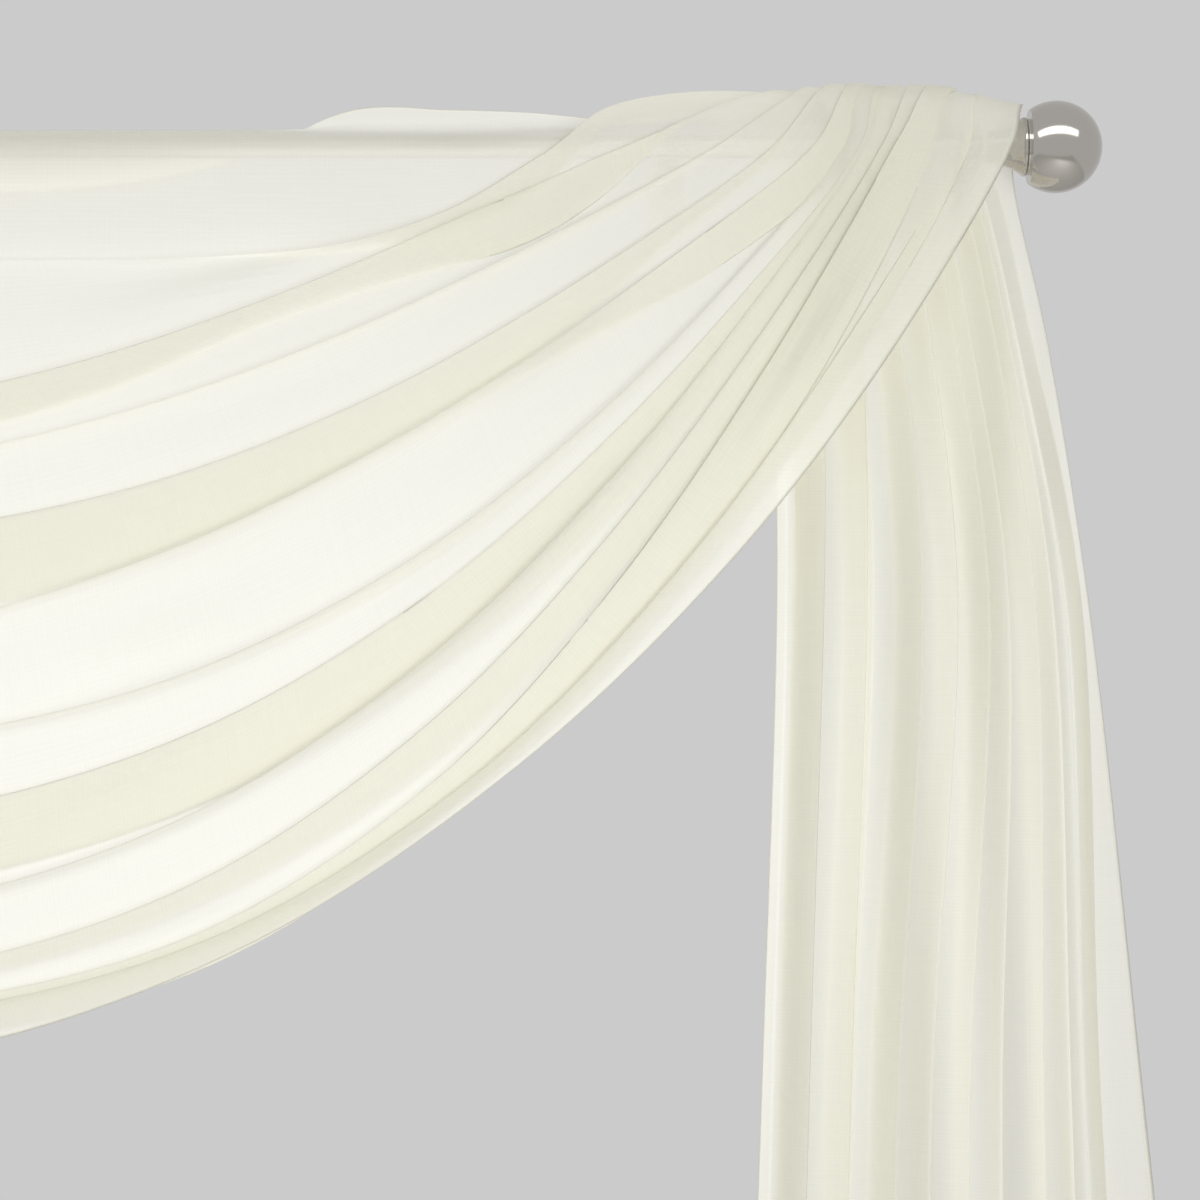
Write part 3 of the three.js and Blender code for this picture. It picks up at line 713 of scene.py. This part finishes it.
def lathe(name, profile, side):
    """A round piece turned on the rod's line. The profile is (x, radius), going outwards."""
    bpy.ops.object.select_all(action="DESELECT")
    x, radius = profile[0]
    bpy.ops.mesh.primitive_circle_add(
        vertices=LATHE_SEGMENTS,
        radius=radius * MM,
        fill_type="NGON",
        location=(side * x * MM, ROD_Y * MM, 0),
        rotation=(0, math.pi / 2, 0),
    )
    piece = bpy.context.object
    piece.name = name
    bpy.ops.object.transform_apply(location=True, rotation=True, scale=True)
    bpy.ops.object.mode_set(mode="EDIT")
    bpy.ops.mesh.select_all(action="SELECT")
    for next_x, next_radius in profile[1:]:
        step = (side * (next_x - x) * MM, 0, 0)
        bpy.ops.mesh.extrude_region_move(TRANSFORM_OT_translate={"value": step})
        scale = next_radius / radius
        centre = (side * next_x * MM, ROD_Y * MM, 0)
        bpy.ops.transform.resize(value=(1, scale, scale), center_override=centre)
        x, radius = next_x, next_radius
    bpy.ops.mesh.select_all(action="SELECT")
    bpy.ops.mesh.remove_doubles(threshold=MERGE_DISTANCE)
    bpy.ops.mesh.normals_make_consistent(inside=False)
    bpy.ops.object.mode_set(mode="OBJECT")
    bpy.ops.object.shade_smooth_by_angle(angle=math.radians(SHARP_EDGE))
    return piece


def ball_profile():
    """The ball from its flat side, past the groove, round to its pole."""
    start = GROOVE_X + GROOVE_WIDTH
    first = math.acos((start - BALL_CENTRE_X) / BALL_RADIUS)
    angles = [first * (1 - i / BALL_ARCS) for i in range(1, BALL_ARCS)] + [POLE_ANGLE]
    arc = [(BALL_CENTRE_X + BALL_RADIUS * math.cos(a), BALL_RADIUS * math.sin(a)) for a in angles]
    lip = BALL_RADIUS * math.sin(first)
    groove = [(GROOVE_X, HUB_RADIUS), (GROOVE_X, GROOVE_RADIUS), (start, GROOVE_RADIUS)]
    return groove + [(start, lip)] + arc


def collar_profile():
    """The neck from its open mouth on the rod to its rim, hollow where the rod goes in."""
    outer = GROOVE_X - FIT_GAP
    bore = ROD_RADIUS + FIT_GAP
    bore_end = ROD_HALF_LENGTH + FIT_GAP
    waist = [
        (
            mix(COLLAR_INNER_X, COLLAR_WAIST_X, t),
            mix(COLLAR_MOUTH_RADIUS, COLLAR_WAIST_RADIUS, t**WAIST_CURVE),
        )
        for t in WAIST_SHARES
    ]
    flare = [
        (
            mix(COLLAR_WAIST_X, outer - RIM_DEPTH, t),
            mix(COLLAR_WAIST_RADIUS, COLLAR_RIM_RADIUS - RIM_STEP, t**FLARE_CURVE),
        )
        for t in FLARE_SHARES
    ]
    rim = [(outer - back, COLLAR_RIM_RADIUS - down) for back, down in RIM_ROUNDING]
    bore_lines = [(bore_end, HUB_RADIUS), (bore_end, bore), (COLLAR_INNER_X, bore)]
    return bore_lines + waist + flare + rim + [(outer, HUB_RADIUS)]


def build_finials(material):
    for side, where in ((1, "right"), (-1, "left")):
        for part, profile in (("collar", collar_profile()), ("ball", ball_profile())):
            piece = lathe(f"turned_{part}_{where}", profile, side)
            dress(piece, material)
            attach(piece, "root")
            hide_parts(f"finial_{part}_{where}")


def dress_rod_and_brackets(material):
    for name in ("rod", "wall_bracket_right", "wall_bracket_left"):
        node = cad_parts[name]
        node.data.materials.clear()
        node.data.materials.append(material)


# The photo's view: level, 0.6 m right of the middle and 0.3 m below the rod, and
# about 2.3 m in front of it
PICTURE_SIDE = 1200
FOCAL_PIXELS = 3300
SCALE_AT_ROD = 0.69
CAMERA_X = 607.4
CAMERA_Z = -312.6
SENSOR = 36


# Lights: name, place and size in metres, turn in degrees, watts, and whether it
# shows only in the metal
LIGHTS = (
    ("front_softbox", (1.6, -2.6, -0.7), (90, 0, 22), (1.8, 1.8), 39, False),
    ("glow_behind_swag", (0.05, 0.3, -0.42), (-90, 0, 0), (1.4, 0.66), 3.8, False),
    ("top_softbox", (0.2, -0.2, 1.2), (0, 0, 0), (2.2, 0.8), 5, False),
    ("highlight_strip", (0.89, -1.07, 0.7), (54.5, 0, 0), (2.6, 0.42), 6.5, True),
)


def place_camera():
    camera = bpy.data.cameras.new("photo_view")
    camera.sensor_width = SENSOR
    camera.lens = SENSOR * FOCAL_PIXELS / PICTURE_SIDE
    camera.clip_end = 50
    holder = bpy.data.objects.new("photo_view", camera)
    away = FOCAL_PIXELS * SCALE_AT_ROD
    holder.location = (CAMERA_X * MM, (ROD_Y - away) * MM, CAMERA_Z * MM)
    holder.rotation_euler = (math.pi / 2, 0, 0)
    bpy.context.scene.collection.objects.link(holder)
    bpy.context.scene.camera = holder


def soft_light(name, place, turn, size, power, for_metal):
    """An area light that the camera doesn't see. It lights the cloth, or shows only in the metal."""
    lamp = bpy.data.lights.new(name, "AREA")
    lamp.shape = "RECTANGLE"
    lamp.size, lamp.size_y = size
    lamp.energy = power
    holder = bpy.data.objects.new(name, lamp)
    holder.location = place
    holder.rotation_euler = [math.radians(a) for a in turn]
    holder.visible_camera = False
    holder.visible_glossy = for_metal
    holder.visible_diffuse = not for_metal
    holder.visible_transmission = not for_metal
    bpy.context.scene.collection.objects.link(holder)


def light_the_studio():
    world = bpy.data.worlds.new("studio")
    world.use_nodes = True
    tree = world.node_tree
    background = tree.nodes["Background"]
    background.inputs["Color"].default_value = linear("#CBCBCB")
    background.inputs["Strength"].default_value = 1.0
    bpy.context.scene.world = world
    for light in LIGHTS:
        soft_light(*light)
    bpy.context.scene.view_settings.view_transform = "Standard"


# The floor's height and side in metres, its mottle in millimetres, and its
# roughness from the smoothest to the mattest place
FLOOR_LEVEL = -2.06
FLOOR_SIDE = 7
FLOOR_MOTTLE = 60
FLOOR_MATT = (0.8, 0.95)


def lay_floor():
    """A plain pale floor under the tails, rolled smooth with matt paint."""
    bpy.ops.object.select_all(action="DESELECT")
    bpy.ops.mesh.primitive_plane_add(size=FLOOR_SIDE, location=(0, 0, FLOOR_LEVEL))
    floor = bpy.context.object
    floor.name = "studio_floor"
    material, tree = new_material("pale_floor_paint")
    place = add_node(tree, "ShaderNodeTexCoord").outputs["Object"]
    spots = 1 / (FLOOR_MOTTLE * MM)
    mottle = add_node(tree, "ShaderNodeTexNoise", {"Vector": place}, Scale=spots, Detail=4.0)
    matt = add_node(tree, "ShaderNodeMapRange", {"Value": mottle.outputs[0]})
    matt.inputs["To Min"].default_value, matt.inputs["To Max"].default_value = FLOOR_MATT
    bump = add_node(tree, "ShaderNodeBump", {"Height": mottle.outputs[0]}, Strength=0.1, Distance=0.001)
    links = {"Roughness": matt.outputs[0], "Normal": bump.outputs[0]}
    paint = add_node(tree, "ShaderNodeBsdfPrincipled", links)
    paint.inputs["Base Color"].default_value = linear("#DDDCDA")
    add_node(tree, "ShaderNodeOutputMaterial", {"Surface": paint.outputs[0]})
    floor.data.materials.append(material)


place_camera()
build_scarf(woven_polyester_voile())
build_finials(polished_nickel())
dress_rod_and_brackets(satin_nickel())
light_the_studio()
lay_floor()
